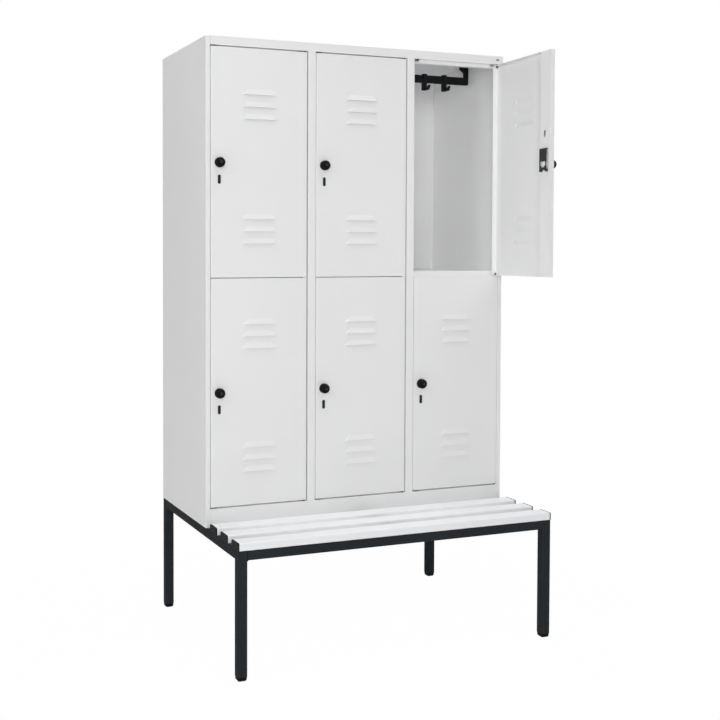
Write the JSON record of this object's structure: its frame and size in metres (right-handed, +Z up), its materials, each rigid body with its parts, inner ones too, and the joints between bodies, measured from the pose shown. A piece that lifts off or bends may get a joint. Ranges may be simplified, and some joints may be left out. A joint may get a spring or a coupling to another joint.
{
  "type": "double-tier locker with bench",
  "caption": "Two-tier steel locker with louvred doors, turn locks and coat rails, on a dark tube base whose slatted bench reaches out in front.",
  "frame": {"origin": "on the floor, under the middle of the whole object as it stands with one door open", "axes": "+Z up, -Y out of the door fronts, +X to the right seen from the front"},
  "size_m": [1.2, 0.8509, 2.125],
  "materials": {
    "body_paint": "satin",
    "door_paint": "satin",
    "frame_paint": "matte",
    "slat_plastic": "matte",
    "black_plastic": "satin",
    "steel": "brushed"
  },
  "bodies": {
    "carcass": {"side_panel_left": "body_paint", "side_panel_right": "body_paint", "back_panel": "body_paint", "roof_panel": "body_paint", "floor_panel": "body_paint", "partition_left": "body_paint", "partition_right": "body_paint", "tier_shelves": "body_paint", "hinge_pins": "steel", "hinge_plates": "body_paint", "coat_rails": "black_plastic", "base_legs": "frame_paint", "foot_plugs": "black_plastic", "base_long_rails": "frame_paint", "base_side_rails": "frame_paint", "slat_bearer": "frame_paint", "bench_slats": "slat_plastic", "slat_end_caps": "black_plastic"},
    "door_body_upper_left": {"door_upper_left": "door_paint", "lock_case_upper_left": "black_plastic"},
    "latch_body_upper_left": {"turn_knob_upper_left": "black_plastic", "latch_lever_upper_left": "steel"},
    "hook_body_upper_left_1": {"coat_hook_upper_left_1": "black_plastic"},
    "hook_body_upper_left_2": {"coat_hook_upper_left_2": "black_plastic"},
    "hook_body_upper_left_3": {"coat_hook_upper_left_3": "black_plastic"},
    "door_body_upper_middle": {"door_upper_middle": "door_paint", "lock_case_upper_middle": "black_plastic"},
    "latch_body_upper_middle": {"turn_knob_upper_middle": "black_plastic", "latch_lever_upper_middle": "steel"},
    "hook_body_upper_middle_1": {"coat_hook_upper_middle_1": "black_plastic"},
    "hook_body_upper_middle_2": {"coat_hook_upper_middle_2": "black_plastic"},
    "hook_body_upper_middle_3": {"coat_hook_upper_middle_3": "black_plastic"},
    "door_body_upper_right": {"door_upper_right": "door_paint", "lock_case_upper_right": "black_plastic"},
    "latch_body_upper_right": {"turn_knob_upper_right": "black_plastic", "latch_lever_upper_right": "steel"},
    "hook_body_upper_right_1": {"coat_hook_upper_right_1": "black_plastic"},
    "hook_body_upper_right_2": {"coat_hook_upper_right_2": "black_plastic"},
    "hook_body_upper_right_3": {"coat_hook_upper_right_3": "black_plastic"},
    "door_body_lower_left": {"door_lower_left": "door_paint", "lock_case_lower_left": "black_plastic"},
    "latch_body_lower_left": {"turn_knob_lower_left": "black_plastic", "latch_lever_lower_left": "steel"},
    "hook_body_lower_left_1": {"coat_hook_lower_left_1": "black_plastic"},
    "hook_body_lower_left_2": {"coat_hook_lower_left_2": "black_plastic"},
    "hook_body_lower_left_3": {"coat_hook_lower_left_3": "black_plastic"},
    "door_body_lower_middle": {"door_lower_middle": "door_paint", "lock_case_lower_middle": "black_plastic"},
    "latch_body_lower_middle": {"turn_knob_lower_middle": "black_plastic", "latch_lever_lower_middle": "steel"},
    "hook_body_lower_middle_1": {"coat_hook_lower_middle_1": "black_plastic"},
    "hook_body_lower_middle_2": {"coat_hook_lower_middle_2": "black_plastic"},
    "hook_body_lower_middle_3": {"coat_hook_lower_middle_3": "black_plastic"},
    "door_body_lower_right": {"door_lower_right": "door_paint", "lock_case_lower_right": "black_plastic"},
    "latch_body_lower_right": {"turn_knob_lower_right": "black_plastic", "latch_lever_lower_right": "steel"},
    "hook_body_lower_right_1": {"coat_hook_lower_right_1": "black_plastic"},
    "hook_body_lower_right_2": {"coat_hook_lower_right_2": "black_plastic"},
    "hook_body_lower_right_3": {"coat_hook_lower_right_3": "black_plastic"}
  },
  "joints": [
    {"name": "door_hinge_upper_left", "type": "hinge", "parent": "carcass", "child": "door_body_upper_left", "pos_m": [-0.2245, -0.0685, 1.692], "axis": [0, 0, 1], "range_deg": [0, 100]},
    {"name": "latch_turn_upper_left", "type": "hinge", "parent": "door_body_upper_left", "child": "latch_body_upper_left", "pos_m": [-0.5505, -0.0745, 1.692], "axis": [0, -1, 0], "range_deg": [0, 90]},
    {"name": "hook_slide_upper_left_1", "type": "slide", "parent": "carcass", "child": "hook_body_upper_left_1", "axis": [1, 0, 0], "range_m": [-0.08, 0.03]},
    {"name": "hook_slide_upper_left_2", "type": "slide", "parent": "carcass", "child": "hook_body_upper_left_2", "axis": [1, 0, 0], "range_m": [-0.03, 0.03]},
    {"name": "hook_slide_upper_left_3", "type": "slide", "parent": "carcass", "child": "hook_body_upper_left_3", "axis": [1, 0, 0], "range_m": [-0.03, 0.08]},
    {"name": "door_hinge_upper_middle", "type": "hinge", "parent": "carcass", "child": "door_body_upper_middle", "pos_m": [0.1755, -0.0685, 1.692], "axis": [0, 0, 1], "range_deg": [0, 100]},
    {"name": "latch_turn_upper_middle", "type": "hinge", "parent": "door_body_upper_middle", "child": "latch_body_upper_middle", "pos_m": [-0.1505, -0.0745, 1.692], "axis": [0, -1, 0], "range_deg": [0, 90]},
    {"name": "hook_slide_upper_middle_1", "type": "slide", "parent": "carcass", "child": "hook_body_upper_middle_1", "axis": [1, 0, 0], "range_m": [-0.08, 0.03]},
    {"name": "hook_slide_upper_middle_2", "type": "slide", "parent": "carcass", "child": "hook_body_upper_middle_2", "axis": [1, 0, 0], "range_m": [-0.03, 0.03]},
    {"name": "hook_slide_upper_middle_3", "type": "slide", "parent": "carcass", "child": "hook_body_upper_middle_3", "axis": [1, 0, 0], "range_m": [-0.03, 0.08]},
    {"name": "door_hinge_upper_right", "type": "hinge", "parent": "carcass", "child": "door_body_upper_right", "pos_m": [0.5755, -0.0685, 1.692], "axis": [0, 0, 1], "range_deg": [-88, 12]},
    {"name": "latch_turn_upper_right", "type": "hinge", "parent": "door_body_upper_right", "child": "latch_body_upper_right", "pos_m": [0.57012, -0.39451, 1.692], "axis": [0.9994, -0.0349, 0], "range_deg": [0, 90]},
    {"name": "hook_slide_upper_right_1", "type": "slide", "parent": "carcass", "child": "hook_body_upper_right_1", "axis": [1, 0, 0], "range_m": [-0.08, 0.03]},
    {"name": "hook_slide_upper_right_2", "type": "slide", "parent": "carcass", "child": "hook_body_upper_right_2", "axis": [1, 0, 0], "range_m": [-0.03, 0.03]},
    {"name": "hook_slide_upper_right_3", "type": "slide", "parent": "carcass", "child": "hook_body_upper_right_3", "axis": [1, 0, 0], "range_m": [-0.03, 0.08]},
    {"name": "door_hinge_lower_left", "type": "hinge", "parent": "carcass", "child": "door_body_lower_left", "pos_m": [-0.2245, -0.0685, 0.893], "axis": [0, 0, 1], "range_deg": [0, 100]},
    {"name": "latch_turn_lower_left", "type": "hinge", "parent": "door_body_lower_left", "child": "latch_body_lower_left", "pos_m": [-0.5505, -0.0745, 0.893], "axis": [0, -1, 0], "range_deg": [0, 90]},
    {"name": "hook_slide_lower_left_1", "type": "slide", "parent": "carcass", "child": "hook_body_lower_left_1", "axis": [1, 0, 0], "range_m": [-0.08, 0.03]},
    {"name": "hook_slide_lower_left_2", "type": "slide", "parent": "carcass", "child": "hook_body_lower_left_2", "axis": [1, 0, 0], "range_m": [-0.03, 0.03]},
    {"name": "hook_slide_lower_left_3", "type": "slide", "parent": "carcass", "child": "hook_body_lower_left_3", "axis": [1, 0, 0], "range_m": [-0.03, 0.08]},
    {"name": "door_hinge_lower_middle", "type": "hinge", "parent": "carcass", "child": "door_body_lower_middle", "pos_m": [0.1755, -0.0685, 0.893], "axis": [0, 0, 1], "range_deg": [0, 100]},
    {"name": "latch_turn_lower_middle", "type": "hinge", "parent": "door_body_lower_middle", "child": "latch_body_lower_middle", "pos_m": [-0.1505, -0.0745, 0.893], "axis": [0, -1, 0], "range_deg": [0, 90]},
    {"name": "hook_slide_lower_middle_1", "type": "slide", "parent": "carcass", "child": "hook_body_lower_middle_1", "axis": [1, 0, 0], "range_m": [-0.08, 0.03]},
    {"name": "hook_slide_lower_middle_2", "type": "slide", "parent": "carcass", "child": "hook_body_lower_middle_2", "axis": [1, 0, 0], "range_m": [-0.03, 0.03]},
    {"name": "hook_slide_lower_middle_3", "type": "slide", "parent": "carcass", "child": "hook_body_lower_middle_3", "axis": [1, 0, 0], "range_m": [-0.03, 0.08]},
    {"name": "door_hinge_lower_right", "type": "hinge", "parent": "carcass", "child": "door_body_lower_right", "pos_m": [0.5755, -0.0685, 0.893], "axis": [0, 0, 1], "range_deg": [0, 100]},
    {"name": "latch_turn_lower_right", "type": "hinge", "parent": "door_body_lower_right", "child": "latch_body_lower_right", "pos_m": [0.2495, -0.0745, 0.893], "axis": [0, -1, 0], "range_deg": [0, 90]},
    {"name": "hook_slide_lower_right_1", "type": "slide", "parent": "carcass", "child": "hook_body_lower_right_1", "axis": [1, 0, 0], "range_m": [-0.08, 0.03]},
    {"name": "hook_slide_lower_right_2", "type": "slide", "parent": "carcass", "child": "hook_body_lower_right_2", "axis": [1, 0, 0], "range_m": [-0.03, 0.03]},
    {"name": "hook_slide_lower_right_3", "type": "slide", "parent": "carcass", "child": "hook_body_lower_right_3", "axis": [1, 0, 0], "range_m": [-0.03, 0.08]}
  ]
}
